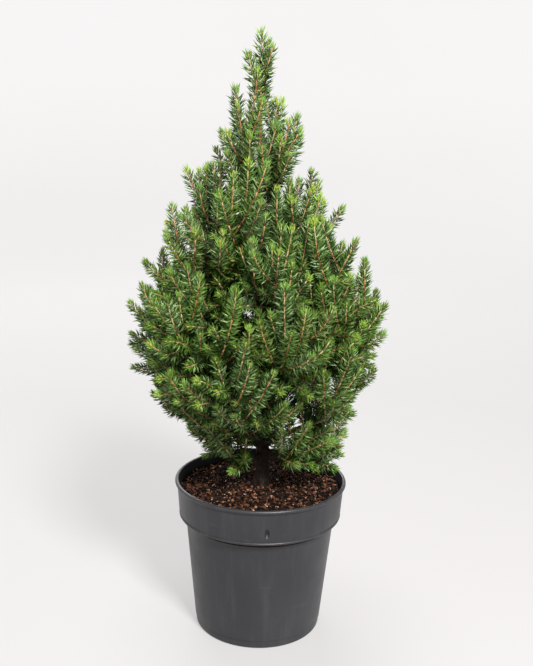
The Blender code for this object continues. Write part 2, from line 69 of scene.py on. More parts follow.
BARE_SHARE = 0.36
BOUGH_THICKNESS = 0.0040
BOUGH_ROOT_RADIUS = 0.0016
ROOT_STAGGER = 0.018
ROOT_VARIETY = 0.002
AZIMUTH_VARIETY = 6.0
TIP_VARIETY = 0.012
LEAST_REACH = 0.94
BEND_OUT = 0.55
BEND_UP = 0.34
GOLDEN_ANGLE = math.radians(137.5)
TREE_SEED = 41
FIRST_SEED = 100
LEADER_SEED = 77
CURVE_STEPS = 12
TRUNK_POINTS = 60
BOUGH_POINTS = 8

# the crown's outline: height, reach to the left, to the right, and to the front and back
CROWN = (
    (0.190, 0.070, 0.094, 0.056), (0.225, 0.070, 0.094, 0.062), (0.262, 0.104, 0.106, 0.096),
    (0.305, 0.153, 0.125, 0.136), (0.350, 0.150, 0.134, 0.148), (0.400, 0.151, 0.144, 0.152),
    (0.435, 0.132, 0.117, 0.130), (0.475, 0.108, 0.104, 0.108), (0.505, 0.093, 0.092, 0.094),
    (0.530, 0.088, 0.060, 0.076), (0.560, 0.050, 0.050, 0.052), (0.600, 0.034, 0.040, 0.038),
    (0.632, 0.023, 0.024, 0.025), (0.660, 0.014, 0.016, 0.016), (0.679, 0.006, 0.006, 0.006),
)
CROWN_HEIGHTS, *CROWN_REACHES = np.array(CROWN).T
# tier, height of its roots and tips, first azimuth in degrees, branches, whether they have bare boughs
TIERS = (
    ("skirt", 0.205, 0.212, 14.0, 5, True),
    ("low", 0.222, 0.300, 15.0, 6, True),
    ("middle", 0.252, 0.395, -14.0, 6, True),
    ("shoulder", 0.306, 0.468, 58.0, 5, True),
    ("upper", 0.388, 0.527, 172.0, 5, False),
    ("top", 0.480, 0.598, 46.0, 4, False),
)

SHOOT_LENGTH = 0.078
SHORTEST_SHOOT = 0.030
SHOOT_TRIM = 0.003
LENGTH_RANGE = (0.80, 1.12)
LIFT_HEIGHTS = (0.200, 0.320)
LIFTS = (0.05, 0.42)
LIFT_VARIETY = 0.25
SPREAD = 47.0
TOP_SPREAD = 22.0
SPREAD_VARIETY = 9.0
SIDE_SHOOTS = 5
TRIES = 35
FIRST_ON_BOUGH = 0.06
FIRST_ON_TRUNK = 0.14
LAST_SIDE_SHOOT = 0.76
PLACE_VARIETY = 0.03
SHOOT_SPACING = 0.019
TOP_SPACING = 0.008
CROWN_NARROWS = 0.460
NARROWEST = 0.639
SAMPLES = (0.3, 0.5, 0.7, 0.85, 1.0)
OUTER_SAMPLES = 2
LIMB_SPACING = 0.010
FOLIAGE_FLOOR = 0.1865

# ------------------------ sizes of what is carried finer

# rounds of finer shoots: shares of the shoot length, spread and lift, pull outwards, spacing low and at the
# top, least and most share of the crown's reach, greatest height of their roots, tries on each parent
FINER = (
    (0.74, 1.15, 0.15, 1.00, 0.0120, 0.0150, 0.70, 1.00, 0.42, 18),
    (1.28, 0.76, 1.00, 0.00, 0.0115, 0.0140, 0.70, 1.00, 0.66, 18),
    (0.62, 1.20, 0.10, 0.90, 0.0088, 0.0150, 0.62, 1.00, 0.44, 14),
    (1.10, 0.82, 1.00, 0.00, 0.0098, 0.0130, 0.50, 0.94, 0.66, 10),
    (0.85, 0.95, 0.80, 0.00, 0.0094, 0.0130, 0.30, 0.80, 0.66, 8),
    (0.66, 1.20, -0.20, 0.30, 0.0080, 0.0130, 0.15, 0.80, 0.27, 12),
)
# how much of its round's least share a shoot's tip still has to reach
LEAST_OF_SHARE = 0.8
# how much more the finer shoots are lifted, by the height of their roots
STEEPER_HEIGHTS = (0.28, 0.44)
STEEPER = (1.0, 2.1)
# how much of the outline the finer shoots fill, by the height of their roots
FILLED_HEIGHTS = (0.34, 0.40, 0.50, 0.58)
FILLED = (1.0, 0.84, 0.82, 1.0)
# the finer shoots leave hollows in the crown where this noise is low
HOLLOW_SCALE = 19.0
HOLLOW_LEVEL = -0.20
FINE_SEED = 3
FINE_PLACES = (0.10, 0.92)
LEAST_RISE = -0.32
CELL = 0.020

# stems: where needles start past a bare bough and past the trunk, the share of inmost needles, in painted
# deep shade, and a stem's radius, as a share of its branch's root radius and at the least
BOUGH_START = 0.16
TRUNK_START = 0.22
STEM_DEEP = 0.40
STEM_SHARE = 0.62
LEAST_STEM_RADIUS = 0.0014
# side shoots: their root radius, where needles start, the share of inmost needles, in painted deep shade
SIDE_SHOOT = (0.00115, 0.10, 0.22)
SHOOT_TIP_RADIUS = 0.00080

# needles on a metre of the shoots outside and inside the crown, and how far out the outside ones end;
# the inside ones are coloured with painted shade
OUTER_NEEDLES = 3700
INNER_NEEDLES = 2800
OUTSIDE = 0.70
# shares of that number: the inmost needles, in painted deep shade, further out plain ones, painted-highlight
# and painted-shade ones, and the tip's
SHARES = (0.8, 0.56, 0.22, 0.22, 1.1)

NEEDLE_LENGTH = 0.0114
NEEDLE_WIDTH = 0.00082
NEEDLE_DEPTH = 0.00065
NEEDLE_LIFT = 0.06
NEEDLE_BOW = 0.0009
# how deep in the twig a needle's foot is, and where it is widest
NEEDLE_SEAT = 0.4
NEEDLE_WAIST = 0.42
# how far needles lean off the shoot in degrees, and their share of full length, by distance from its tip
LEAN = ((0.0, 16.0), (0.004, 29.0), (0.009, 44.0), (0.016, 57.0), (0.030, 66.0), (0.080, 72.0))
LEAN_VARIETY = math.radians(13)
FULLNESS = ((0.0, 0.66), (0.005, 0.86), (0.012, 0.98), (0.030, 1.0), (0.060, 0.92), (0.080, 0.76))
TIP_TUFT = (0.0035, 0.0080)
# ranges that vary from shoot to shoot, and then from needle to needle
SIZE_RANGE = (0.88, 1.10)
OPENNESS_RANGE = (0.88, 1.08)
STEP_RANGE = (0.1, 0.9)
REACH_RANGE = (0.80, 1.12)
ANGLE_VARIETY = 0.5
TURN_VARIETY = 0.9
SIDE_VARIETY = 0.14
# between which heights the needles' lean, number and size change towards the top, and how much
TOPWARD = (0.42, 0.58)
TOP_CHANGES = ((1.0, 0.94), (1.0, 0.72), (1.0, 1.10))
FOLIAGE_SEED = 23
PIECE_LIMIT = 190_000

TWIG_SIDES = 4
TWIG_STEP = 0.0050
LEAST_RINGS = 4
KNOBS = (0.72, 1.22)
FLECK_STEPS = (1, 2, 2, 3)
BUD_LENGTH = 0.0038
BUD_RADIUS = 0.0010
BUD_RANGE = (0.8, 1.2)
BUD_SEAT = 0.0004
BUD_SHAPE = ((0.0, 0.75), (0.35, 1.0), (0.75, 0.62), (1.0, 0.12))
BUD_SIDES = 5
GREEN_BUDS = 0.6

# the heights between which old dark bark, darkened further with painted shade, gives way to young
# orange-brown bark
YOUNG_BARK = (0.32, 0.48)
# how rough a noise is: its fading, its ratio of sizes and its layers
ROUGHNESS = (0.9, 2.1, 4)
# how fine the bark's plates are along each axis, how fine its knobs are, and how high to the plates
PLATES = (260.0, 260.0, 120.0)
KNOB_SCALE = 420.0
KNOB_HEIGHT = 1.6
# heights of the trunk's rings, from, to and how many, closer at its foot
TRUNK_RINGS = ((TRUNK_FOOT - 0.003, 0.232, 46), (0.235, TRUNK_TIP + 0.020, 120))
TRUNK_SIDES = 40
TRUNK_RELIEF = 0.13
LOBES = 0.20
LOBE_HEIGHT = 1.4 * FLARE_HEIGHT
# a bare bough starts this share of the trunk's radius inside it, in a collar a few rings long
BOUGH_SEAT = 0.7
COLLAR = 1.5
COLLAR_RINGS = 3
BOUGH_OVERLAP = 0.02
BOUGH_RINGS = 26
BOUGH_SIDES = 12
BOUGH_RELIEF = 0.22

# the pot, as its solid has it
POT_HEIGHT = 0.180
LIP_RADIUS = 0.100
BAND_HEIGHT = 0.043
BAND_FOOT_RADIUS = 0.0947
BODY_TOP_RADIUS = 0.0870
FOOT_RADIUS = 0.0739
FOOT_STEP_HEIGHT = 0.009
FOOT_STEP = 0.0010
WALL = 0.0016
FLOOR = 0.0030
POT_SIDES = 160
DRAIN_HOLES = 6
DRAIN_RADIUS = 0.006
DRAIN_RING_RADIUS = 0.052
DRAIN_TURN = 0.45
DRAIN_SIDES = 28
# its finer shape: the raised underside and its middle, the foot's edge, the step above the body, the band's
# bead and the lip
UNDERSIDE = 0.0008
MIDDLE_RADIUS = 0.030
FOOT_EDGE = 0.0028
BAND_STEP = 0.004
BEAD = 0.0017
LIP = 0.0024
SHARP = math.radians(38)
DENT = (0.0088, -0.0966, 0.1520)
DENT_SIZE = (0.0028, 0.0200, 0.0058)

SOIL_AT_WALL = 0.165
SOIL_AT_TRUNK = 0.172
SOIL_RADIUS = 0.0958
SOIL_SIDES = 180
SOIL_RINGS = 44
# the bed's side, below its surface: radius, height
SOIL_SIDE = ((0.0938, 0.140), (0.0835, 0.128), (0.0720, FLOOR + GAP))
LUMPS = 0.0016
LUMP_SCALE = 42.0
LUMP_LAYER = 0.3

# kind of chip, colour, how many, half length from and to
CHIPS = (
    ("chips_black", (0.004, 0.003, 0.0025), 1900, 0.0009, 0.0029),
    ("chips_brown", (0.026, 0.012, 0.007), 1450, 0.0009, 0.0032),
    ("chips_red", (0.092, 0.036, 0.019), 980, 0.0009, 0.0034),
    ("chips_orange", (0.250, 0.120, 0.062), 480, 0.0008, 0.0027),
    ("chips_pale", (0.480, 0.360, 0.260), 110, 0.0008, 0.0021),
)
CHIP_SEED = 61
CHIPS_TO = SOIL_RADIUS - 0.002
CHIPS_FROM = 0.013
# ranges of a chip's size, of its width and height to its length, of its corners and of its height above soil
CHIP_RANGE = (0.75, 1.0)
CHIP_WIDTHS = (0.28, 0.75)
CHIP_HEIGHTS = (0.20, 0.50)
CHIP_CORNERS = (0.45, 1.0)
CHIP_LIFT = (-0.0002, 0.0026)
CHIP_TILT = 0.45

# the studio: radii of the flat floor's rings, radius of the curve up into the wall, the wall's top
PAPER_RADII = (0.0, 0.8, 1.6, 2.6)
PAPER_CURVE = 1.4
PAPER_TOP = 2.8
PAPER_SIDES = 96
# how much the paper glows near the middle and far off, and these two distances
PAPER_GLOW = (0.47, 0.75)
PAPER_REACH = (1.0, 3.9)
PAPER_WHITE = (1.0, 0.985, 0.985, 1.0)
BLACK = (0.0, 0.0, 0.0)
WHITE = (1.0, 1.0, 1.0)
# lights: name, place, size, power, colour
LIGHTS = (
    ("key", (0.75, -1.85, 2.15), 0.55, 147.0, (1.0, 0.985, 0.965)),
    ("fill", (-1.7, -1.3, 1.2), 1.4, 5.0, WHITE),
    ("top", (-0.2, 0.3, 2.6), 0.9, 30.0, WHITE),
    ("back", (-0.5, 2.0, 1.9), 1.6, 40.0, WHITE),
)
LIT_POINT = Vector((0.0, 0.0, 0.35))
SKY = (0.95, 0.97, 1.0, 1.0)
SKY_STRENGTH = 0.12
# the camera, as fitted to the photographed pot
LENS = 50.0
CAMERA_PLACE = (0.0027, -1.022, 0.589)
CAMERA_DOWN = math.radians(12.98)
CAMERA_ROLL = math.radians(1.43)


# ------------------------ small geometry

def unit(vector):
    """The vector at length one; an array of vectors is taken row by row."""
    return vector / np.linalg.norm(vector, axis=-1, keepdims=True)


def square_to(along, reference):
    """Two unit vectors square to a direction and to each other."""
    across = unit(np.cross(reference, along))
    return across, np.cross(along, across)


def reference_for(curve):
    """A direction that no part of a curve runs along, to turn its rings by."""
    chord = unit(curve[2] - curve[0])
    return UPWARD if abs(chord[2]) < STEEP else BACKWARD


def outward(azimuth):
    """The level direction at an azimuth."""
    return np.array((math.cos(azimuth), math.sin(azimuth), 0.0))


def curve_point(curve, t):
    """A point on a curve with three control points."""
    start, middle, end = curve
    return (1 - t) ** 2 * start + 2 * t * (1 - t) * middle + t ** 2 * end


def curve_direction(curve, t):
    """The direction of such a curve."""
    start, middle, end = curve
    return unit(2 * (1 - t) * (middle - start) + 2 * t * (end - middle))


def curve_length(curve):
    """The length of such a curve, by short steps."""
    points = [curve_point(curve, i / CURVE_STEPS) for i in range(CURVE_STEPS + 1)]
    return sum(float(np.linalg.norm(b - a)) for a, b in zip(points, points[1:]))


# ------------------------ the growth rule

def trunk_centre(height):
    """Where the trunk's middle is at a height."""
    t = (height - TRUNK_FOOT) / (TREE_TOP - TRUNK_FOOT)
    x = TRUNK_FOOT_X + (TREE_TOP_X - TRUNK_FOOT_X) * t + TRUNK_SWAY * math.sin(math.tau * t)
    y = TRUNK_SWAY * math.sin(math.pi * t)
    return np.array((x, y, height))


def trunk_radius(height):
    """The trunk's radius at a height, with the flare at its foot."""
    t = min(1.0, max(0.0, (height - TRUNK_FOOT) / (TRUNK_TIP - TRUNK_FOOT)))
    taper = TRUNK_FOOT_RADIUS + (TRUNK_TIP_RADIUS - TRUNK_FOOT_RADIUS) * t ** TAPER_POWER
    return taper + FLARE * math.exp(-(height - TRUNK_FOOT) / FLARE_HEIGHT)


def crown_reach(height, azimuth):
    """How far the crown reaches from the trunk at a height, towards an azimuth."""
    left, right, deep = (float(np.interp(height, CROWN_HEIGHTS, reach)) for reach in CROWN_REACHES)
    sideways = math.cos(azimuth) / (right if math.cos(azimuth) > 0 else left)
    return 1.0 / math.hypot(sideways, math.sin(azimuth) / deep)


def share_of_reach(point):
    """How far out a point lies: 0 on the trunk's middle, 1 on the crown's outline."""
    offset = point - trunk_centre(point[2])
    azimuth = math.atan2(offset[1], offset[0])
    return math.hypot(offset[0], offset[1]) / crown_reach(point[2], azimuth)


def in_crown(point):
    """Whether a point lies inside the crown's outline."""
    return FOLIAGE_FLOOR <= point[2] <= TREE_TOP and share_of_reach(point) <= 1.0


def branches():
    """Every branch of the tree, lowest tier first: its name, curve and root radius."""
    chance = random.Random(TREE_SEED)
    grown = []
    for tier, root_height, tip_height, first, count, has_bough in TIERS:
        for k in range(count):
            turn = chance.uniform(-AZIMUTH_VARIETY, AZIMUTH_VARIETY)
            azimuth = math.radians(first + 360.0 * k / count + turn)
            stagger = ROOT_STAGGER * ((k * 2) % count) / count
            low = root_height + stagger + chance.uniform(-ROOT_VARIETY, ROOT_VARIETY)
            high = tip_height + chance.uniform(-TIP_VARIETY, TIP_VARIETY)
            reach = crown_reach(high, azimuth) * chance.uniform(LEAST_REACH, 1.0)
            start = trunk_centre(low) + outward(azimuth) * (trunk_radius(low) + GAP)
            end = trunk_centre(high) + outward(azimuth) * reach
            middle = (1 - BEND_OUT) * start + BEND_OUT * end
            middle[2] = low + BEND_UP * (high - low)
            grown.append({
                "azimuth": azimuth,
                "curve": (start, middle, end),
                "radius": BOUGH_ROOT_RADIUS + BOUGH_THICKNESS * (TREE_TOP - low),
                "has_bough": has_bough,
                "seed": FIRST_SEED + len(grown),
            })
    return grown


def shoot_samples(curve):
    """Points along a shoot, where its distance to others is measured."""
    return np.array([curve_point(curve, t) for t in SAMPLES])


def least_distance(points, others):
    """The least distance between two sets of points."""
    return float(np.min(np.linalg.norm(points[:, None, :] - others[None, :, :], axis=2)))


def limb_points(branch_list):
    """Points along the trunk and the bare boughs."""
    points = [trunk_centre(h) for h in np.linspace(TRUNK_FOOT, TRUNK_TIP, TRUNK_POINTS)]
    for branch in branch_list:
        if branch["has_bough"]:
            points += [curve_point(branch["curve"], t) for t in np.linspace(0.0, BARE_SHARE, BOUGH_POINTS)]
    return np.array(points)


def narrowing(height, low, top):
    """A value that changes from low in the crown to its top."""
    return float(np.interp(height, (CROWN_NARROWS, NARROWEST), (low, top)))


def side_shoot(stem, t, roll, chance, share=1.0, outline=1.0, narrow=1.0, rise=1.0, pull=0.0):
    """A side shoot from a stem, bent upwards and pulled outwards, cut short at the crown's outline."""
    root = curve_point(stem, t)
    along = curve_direction(stem, t)
    across, up = square_to(along, reference_for(stem))
    spread = narrowing(root[2], SPREAD, TOP_SPREAD) + chance.uniform(-1.0, 1.0) * SPREAD_VARIETY
    spread = math.radians(narrow * spread)
    away = math.cos(roll) * across + math.sin(roll) * up
    heading = unit(math.cos(spread) * along + math.sin(spread) * away)
    length = share * SHOOT_LENGTH * chance.uniform(*LENGTH_RANGE)
    steepness = float(np.interp(root[2], LIFT_HEIGHTS, LIFTS))
    lift = rise * steepness * chance.uniform(1 - LIFT_VARIETY, 1 + LIFT_VARIETY) * UPWARD
    lift = lift + pull * unit(root - trunk_centre(root[2]))
    while length >= SHORTEST_SHOOT:
        end = root + length * unit(heading + lift)
        if in_crown(end) and share_of_reach(end) <= outline:
            return root, root + 0.5 * length * heading, end
        length -= SHOOT_TRIM
    return None


def stem_curve(branch):
    """The part of a branch's curve that its mass has: past the bare bough, if it has one."""
    start, middle, end = branch["curve"]
    if not branch["has_bough"]:
        return branch["curve"]
    first = BARE_SHARE + GAP / curve_length(branch["curve"])
    return curve_point(branch["curve"], first), (1 - first) * middle + first * end, end


def grow_mass(branch, limbs, taken):
    """The side shoots of one mass that have room, from its foot to its tip."""
    chance = random.Random(branch["seed"])
    stem = stem_curve(branch)
    shoots = []
    own = shoot_samples(stem)[OUTER_SAMPLES + 1:]
    roll = chance.uniform(0.0, math.tau)
    first = FIRST_ON_BOUGH if branch["has_bough"] else FIRST_ON_TRUNK
    for _ in range(TRIES):
        if len(shoots) == SIDE_SHOOTS:
            break
        share = (len(shoots) + 0.5) / SIDE_SHOOTS
        t = first + (LAST_SIDE_SHOOT - first) * share + chance.uniform(-PLACE_VARIETY, PLACE_VARIETY)
        roll += GOLDEN_ANGLE
        shoot = side_shoot(stem, t, roll, chance)
        if shoot is None:
            continue
        points = shoot_samples(shoot)
        outer = points[OUTER_SAMPLES:]
        spacing = narrowing(outer[0][2], SHOOT_SPACING, TOP_SPACING)
        if least_distance(points, limbs) < LIMB_SPACING:
            continue
        if least_distance(points, taken) < spacing or least_distance(outer, own) < spacing:
            continue
        shoots.append(shoot)
        own = np.concatenate([own, outer])
    return shoots


def leader_branch():
    """The leader, which carries the trunk on to the tree's top."""
    start = trunk_centre(TRUNK_TIP) + np.array((0.0, 0.0, GAP))
    end = trunk_centre(TREE_TOP)
    return {
        "curve": (start, 0.5 * (start + end), end),
        "radius": TRUNK_TIP_RADIUS,
        "has_bough": False,
        "seed": LEADER_SEED,
    }


def grow_tree():
    """Every branch with its side shoots, each clear of those grown before it."""
    grown = branches()
    limbs = limb_points(grown)
    grown.append(leader_branch())
    taken = [shoot_samples(stem_curve(branch)) for branch in grown]
    for index, branch in enumerate(grown):
        others = np.concatenate(taken[:index] + taken[index + 1:])
        branch["shoots"] = grow_mass(branch, limbs, others)
        taken[index] = np.concatenate([taken[index]] + [shoot_samples(s) for s in branch["shoots"]])
    return grown, limbs


class Crowd:
    """Points already taken, kept by cell so that the near ones are found at once."""

    def __init__(self, points):
        self.cells = {}
        self.add(points)

    def add(self, points):
        """Takes some points."""
        for point in points.tolist():
            cell = tuple(math.floor(value / CELL) for value in point)
            self.cells.setdefault(cell, []).append(point)

    def has_near(self, points, distance):
        """Whether any taken point is nearer than a distance, less than a cell, to one of these."""
        for point in points.tolist():
            low = [math.floor((value - distance) / CELL) for value in point]
            high = [math.floor((value + distance) / CELL) for value in point]
            for cell in itertools.product(*(range(a, b + 1) for a, b in zip(low, high))):
                if any(math.dist(point, other) < distance for other in self.cells.get(cell, ())):
                    return True
        return False


def grow_finer(tree, limbs):
    """The same rule carried on: shoots from every stem and shoot in turn, wherever there is room."""
    chance = random.Random(FINE_SEED)
    parents = [stem_curve(branch) for branch in tree]
    parents += [shoot for branch in tree for shoot in branch["shoots"]]
    taken = Crowd(np.concatenate([shoot_samples(curve) for curve in parents]))
    bare = Crowd(limbs)
    finer = []
    for share, narrow, rise, pull, low_spacing, top_spacing, least, most, highest, tries in FINER:
        grown = []
        for parent in parents:
            roll = chance.uniform(0.0, math.tau)
            for _ in range(tries):
                roll += GOLDEN_ANGLE
                outline = chance.uniform(least, most)
                place = chance.uniform(*FINE_PLACES)
                height = curve_point(parent, place)[2]
                lift = rise * float(np.interp(height, STEEPER_HEIGHTS, STEEPER))
                outline *= float(np.interp(height, FILLED_HEIGHTS, FILLED))
                shoot = side_shoot(parent, place, roll, chance, share, outline, narrow, lift, pull)
                if shoot is None or height > highest or unit(shoot[2] - shoot[0])[2] < LEAST_RISE:
                    continue
                if share_of_reach(shoot[2]) < LEAST_OF_SHARE * least:
                    continue
                points = shoot_samples(shoot)
                if noise.noise(Vector(points[2]) * HOLLOW_SCALE) < HOLLOW_LEVEL:
                    continue
                spacing = narrowing(points[2][2], low_spacing, top_spacing)
                if taken.has_near(points[1:], spacing) or bare.has_near(points[1:], LIMB_SPACING):
                    continue
                grown.append(shoot)
                taken.add(points)
        parents = parents + grown
        finer += grown
    return finer


# ------------------------ meshes

def placed(name, data):
    """A new object of the scene with its data."""
    made = bpy.data.objects.new(name, data)
    bpy.context.scene.collection.objects.link(made)
    return made


def new_mesh_object(name, vertices, faces, material, smooth=False):
    """A mesh object from arrays of vertices and triangles."""
    mesh = bpy.data.meshes.new(name)
    mesh.vertices.add(len(vertices))
    mesh.vertices.foreach_set("co", np.asarray(vertices, np.float32).ravel())
    mesh.loops.add(faces.size)
    mesh.loops.foreach_set("vertex_index", faces.astype(np.int32).ravel())
    mesh.polygons.add(len(faces))
    mesh.polygons.foreach_set("loop_start", np.arange(0, faces.size, 3, dtype=np.int32))
    mesh.polygons.foreach_set("use_smooth", np.full(len(faces), smooth))
    mesh.materials.append(material)
    mesh.update(calc_edges=True)
    mesh.validate()
    return placed(name, mesh)


class Heap:
    """Small closed meshes of one kind and colour, in chunks of fewer triangles than a piece may have."""

    def __init__(self):
        self.chunks = []
        self.room = 0
        self.count = 0

    def add(self, vertices, faces):
        """Adds one small mesh: its vertices, and triangles that number them from 0."""
        if self.room < len(faces):
            self.chunks.append(([], []))
            self.room = PIECE_LIMIT
            self.count = 0
        self.chunks[-1][0].append(vertices)
        self.chunks[-1][1].append(faces + self.count)
        self.room -= len(faces)
        self.count += len(vertices)

    def pieces(self, name, material, smooth=False):
        """Each chunk as one object."""
        made = []
        for number, chunk in enumerate(self.chunks):
            label = f"{name}_{number + 1}" if len(self.chunks) > 1 else name
            made.append(new_mesh_object(label, *map(np.concatenate, chunk), material, smooth))
        return made


def tube(points, radii, sides, reference):
    """A closed tube through points, with a radius at each: its vertices and triangles."""
    count = len(points)
    along = unit(np.gradient(points, axis=0))
    across, up = square_to(along, reference)
    angles = math.tau * np.arange(sides) / sides
    ring = (np.cos(angles)[None, :, None] * across[:, None, :]
            + np.sin(angles)[None, :, None] * up[:, None, :])
    vertices = (points[:, None, :] + ring * radii.reshape(count, -1, 1)).reshape(-1, 3)
    i = np.repeat(np.arange(count - 1), sides) * sides
    j = np.tile(np.arange(sides), count - 1)
    k = (j + 1) % sides
    sheets = [np.stack([i + j, i + k, i + sides + k], 1), np.stack([i + j, i + sides + k, i + sides + j], 1)]
    fan = np.arange(1, sides - 1)
    root = np.stack([np.zeros_like(fan), fan + 1, fan], 1)
    tip = np.stack([np.zeros_like(fan), fan, fan + 1], 1) + (count - 1) * sides
    return vertices, np.concatenate(sheets + [root, tip])


def turned(name, profile, sides, *materials, outside=0, capped=False):
    """An object turned from (radius, height) points, the first on the axis.

    A height may be a function of x and y. Faces past the outside's points have the second material.
    """
    bm = bmesh.new()
    last = []
    for number, (radius, height) in enumerate(profile):
        ring = []
        for k in range(sides if radius else 1):
            x, y, _ = radius * outward(math.tau * k / sides)
            ring.append(bm.verts.new((x, y, height(x, y) if callable(height) else height)))
        # the axis's one vertex stands for a whole ring
        ring *= sides // len(ring)
        for k in range(sides if last else 0):
            corners = last[(k + 1) % sides], last[k], ring[k], ring[(k + 1) % sides]
            bm.faces.new(list(dict.fromkeys(corners))).material_index = int(number >= outside > 0)
        last = ring
    if capped:
        bm.faces.new(last)
    bmesh.ops.recalc_face_normals(bm, faces=bm.faces)
    mesh = bpy.data.meshes.new(name)
    bm.to_mesh(mesh)
    bm.free()
    for material in materials:
        mesh.materials.append(material)
    mesh.shade_smooth()
    return placed(name, mesh)


def arc(centre, radius, first, last, steps):
    """Points of an arc in a profile's plane, angles in degrees from outward, turning upward."""
    angles = np.radians(np.linspace(first, last, steps))
    return [(centre[0] + radius * math.cos(a), centre[1] + radius * math.sin(a)) for a in angles]


def straight(first, last, shares):
    """Points of a straight stretch in a profile's plane, at shares of its length."""
    return [tuple((1 - share) * a + share * b for a, b in zip(first, last)) for share in shares]


NEEDLE_FACES = np.array(((0, 1, 2), (0, 2, 3), (3, 1, 0), (3, 2, 1)))


def needles(curve, length, first, last, count, size, openness, dice):
    """Needles round a shoot from first to last: slim slivers that lean towards its tip."""
    places = (np.arange(count) + dice.uniform(*STEP_RANGE, count)) / count
    t = (first + (last - first) * places)[:, None]
    along = curve_direction(curve, t)
    across, up = square_to(along, reference_for(curve))
    angles = (GOLDEN_ANGLE * np.arange(count) + dice.uniform(-ANGLE_VARIETY, ANGLE_VARIETY, count))[:, None]
    radial = np.cos(angles) * across + np.sin(angles) * up
    from_tip = (1 - t[:, 0]) * length
    lean = openness * np.radians(np.interp(from_tip, *zip(*LEAN))) + dice.normal(0.0, LEAN_VARIETY, count)
    lean = lean[:, None]
    aside = dice.normal(0.0, SIDE_VARIETY, count)[:, None] * np.cross(along, radial) + NEEDLE_LIFT * UPWARD
    heading = unit(np.cos(lean) * along + np.sin(lean) * radial + aside)
    fullness = np.interp(from_tip, *zip(*FULLNESS))
    reach = (size * fullness * dice.uniform(*REACH_RANGE, count))[:, None] * heading
    foot = curve_point(curve, t) + NEEDLE_SEAT * SHOOT_TIP_RADIUS * radial
    turn = dice.uniform(-TURN_VARIETY, TURN_VARIETY, count)[:, None]
    flat = unit(np.cross(heading, along))
    width = np.cos(turn) * flat + np.sin(turn) * np.cross(heading, flat)
    bow = NEEDLE_BOW * (along - heading * np.sum(along * heading, 1, keepdims=True))
    waist = foot + NEEDLE_WAIST * reach - bow + NEEDLE_DEPTH * np.cross(heading, width)
    half = 0.5 * NEEDLE_WIDTH * width
    vertices = np.stack([foot, waist - half, waist + half, foot + reach], 1).reshape(-1, 3)
    faces = (NEEDLE_FACES[None] + 4 * np.arange(count)[:, None, None]).reshape(-1, 3)
    return vertices, faces


# ------------------------ materials

def plain(name, colour, roughness=0.5, specular=0.5):
    """A material of one colour all over."""
    material = bpy.data.materials.new(name)
    material.use_nodes = True
    shader = material.node_tree.nodes["Principled BSDF"]
    shader.inputs["Base Color"].default_value = (*colour, 1.0)
    shader.inputs["Roughness"].default_value = roughness
    shader.inputs["Specular IOR Level"].default_value = specular
    return material


class Nodes:
    """Short calls for building one material's nodes."""

    def __init__(self, name, roughness, specular=0.5):
        self.material = plain(name, WHITE, roughness, specular)
        self.tree = self.material.node_tree
        self.shader = self.tree.nodes["Principled BSDF"]
        self.place = self.tree.nodes.new("ShaderNodeTexCoord").outputs["Object"]

    def node(self, kind, output, inputs, **settings):
        """An output of a new node, whose inputs are other nodes' outputs or values."""
        node = self.tree.nodes.new("ShaderNode" + kind)
        for name, value in settings.items():
            setattr(node, name, value)
        for name, value in inputs.items():
            if isinstance(value, bpy.types.NodeSocket):
                self.tree.links.new(value, node.inputs[name])
            else:
                node.inputs[name].default_value = value
        return node.outputs[output]

    def stretched(self, scale, place=(0.0, 0.0, 0.0)):
        """Object coordinates from a place, scaled along each axis."""
        offset = [-a * b for a, b in zip(place, scale)]
        return self.node("Mapping", "Vector", {"Location": offset, "Scale": scale, "Vector": self.place})

    def noise(self, scale, detail=4.0, rough=0.55, vector=None):
        """Noise between 0 and 1."""
        inputs = {"Scale": scale, "Detail": detail, "Roughness": rough, "Vector": vector or self.place}
        return self.node("TexNoise", "Fac", inputs)

    def ramp(self, value, *stops):
        """Colours by a value, from (place, colour) stops."""
        node = self.tree.nodes.new("ShaderNodeValToRGB")
        elements = node.color_ramp.elements
        while len(elements) < len(stops):
            elements.new(0.5)
        for element, (where, colour) in zip(elements, stops):
            element.position = where
            element.color = (*colour, 1.0)
        self.tree.links.new(value, node.inputs["Fac"])
        return node.outputs["Color"]

    def mixed(self, share, first, second):
        """Two colours mixed by a share."""
        return self.node("Mix", "Result", {"Factor": share, "A": first, "B": second}, data_type="RGBA")

    def product(self, first, second):
        """Two values multiplied."""
        return self.node("Math", "Value", {0: first, 1: second}, operation="MULTIPLY")

    def distance(self, vector=None):
        """The distance from the middle, or a vector's length."""
        return self.node("VectorMath", "Value", {0: vector or self.place}, operation="LENGTH")

    def spread(self, value, low, high, from_low=0.0, from_high=1.0):
        """A value stretched to run from low to high."""
        return self.node("MapRange", "Result", {
            "From Min": from_low, "From Max": from_high, "To Min": low, "To Max": high, "Value": value})

    def bumped(self, height, distance, strength=1.0, before=None):
        """A bump of a height in metres, on top of another if one is given."""
        inputs = {"Strength": strength, "Distance": distance, "Height": height}
        if before:
            inputs["Normal"] = before
        return self.node("Bump", "Normal", inputs)

    def finish(self, colour, rough=None, normal=None, glow=None):
        """Joins outputs to the shader, and gives the material."""
        ends = {"Base Color": colour, "Roughness": rough, "Normal": normal, "Emission Strength": glow}
        for name, output in ends.items():
            if output:
                self.tree.links.new(output, self.shader.inputs[name])
        return self.material


